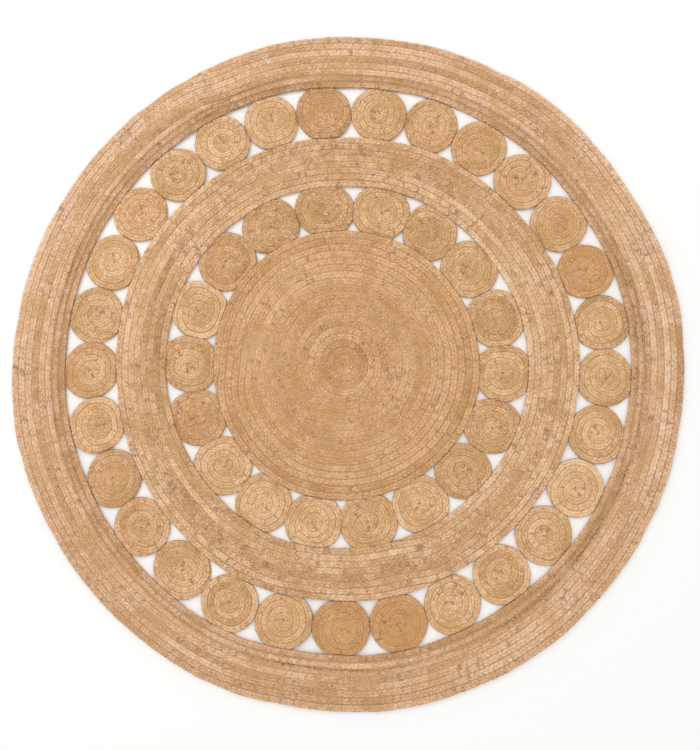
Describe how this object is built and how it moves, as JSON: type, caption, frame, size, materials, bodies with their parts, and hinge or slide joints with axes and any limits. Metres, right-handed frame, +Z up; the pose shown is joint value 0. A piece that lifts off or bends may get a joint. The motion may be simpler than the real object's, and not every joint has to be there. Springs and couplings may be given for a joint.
{
  "type": "area rug",
  "caption": "Round flat openwork rug of coiled jute plait: a centre disc, two rings of small coiled medallions and two broad bands, sewn edge to edge.",
  "frame": {"origin": "on the floor, at the centre of the rug's underside", "axes": "+Z up, away from the floor; X and Y lie in the floor, and the rug is round about Z, with its medallions counted clockwise from near +Y"},
  "size_m": [1.5, 1.5, 0.01],
  "materials": {
    "band_jute": "undyed golden tan jute plait, matt, with darker and paler strands",
    "medallion_jute": "undyed jute plait, matt, from pale straw to warm orange tan",
    "disc_jute": "undyed warm tan jute plait, matt, finely grained"
  },
  "bodies": {
    "root": {"outer_band": "band_jute", "middle_band": "band_jute", "centre_disc": "disc_jute", "outer_medallion_01": "medallion_jute", "outer_medallion_02": "medallion_jute", "outer_medallion_03": "medallion_jute", "outer_medallion_04": "medallion_jute", "outer_medallion_05": "medallion_jute", "outer_medallion_06": "medallion_jute", "outer_medallion_07": "medallion_jute", "outer_medallion_08": "medallion_jute", "outer_medallion_09": "medallion_jute", "outer_medallion_10": "medallion_jute", "outer_medallion_11": "medallion_jute", "outer_medallion_12": "medallion_jute", "outer_medallion_13": "medallion_jute", "outer_medallion_14": "medallion_jute", "outer_medallion_15": "medallion_jute", "outer_medallion_16": "medallion_jute", "outer_medallion_17": "medallion_jute", "outer_medallion_18": "medallion_jute", "outer_medallion_19": "medallion_jute", "outer_medallion_20": "medallion_jute", "outer_medallion_21": "medallion_jute", "outer_medallion_22": "medallion_jute", "outer_medallion_23": "medallion_jute", "outer_medallion_24": "medallion_jute", "outer_medallion_25": "medallion_jute", "outer_medallion_26": "medallion_jute", "outer_medallion_27": "medallion_jute", "outer_medallion_28": "medallion_jute", "outer_medallion_29": "medallion_jute", "inner_medallion_01": "medallion_jute", "inner_medallion_02": "medallion_jute", "inner_medallion_03": "medallion_jute", "inner_medallion_04": "medallion_jute", "inner_medallion_05": "medallion_jute", "inner_medallion_06": "medallion_jute", "inner_medallion_07": "medallion_jute", "inner_medallion_08": "medallion_jute", "inner_medallion_09": "medallion_jute", "inner_medallion_10": "medallion_jute", "inner_medallion_11": "medallion_jute", "inner_medallion_12": "medallion_jute", "inner_medallion_13": "medallion_jute", "inner_medallion_14": "medallion_jute", "inner_medallion_15": "medallion_jute", "inner_medallion_16": "medallion_jute", "inner_medallion_17": "medallion_jute", "inner_medallion_18": "medallion_jute"}
  },
  "joints": []
}
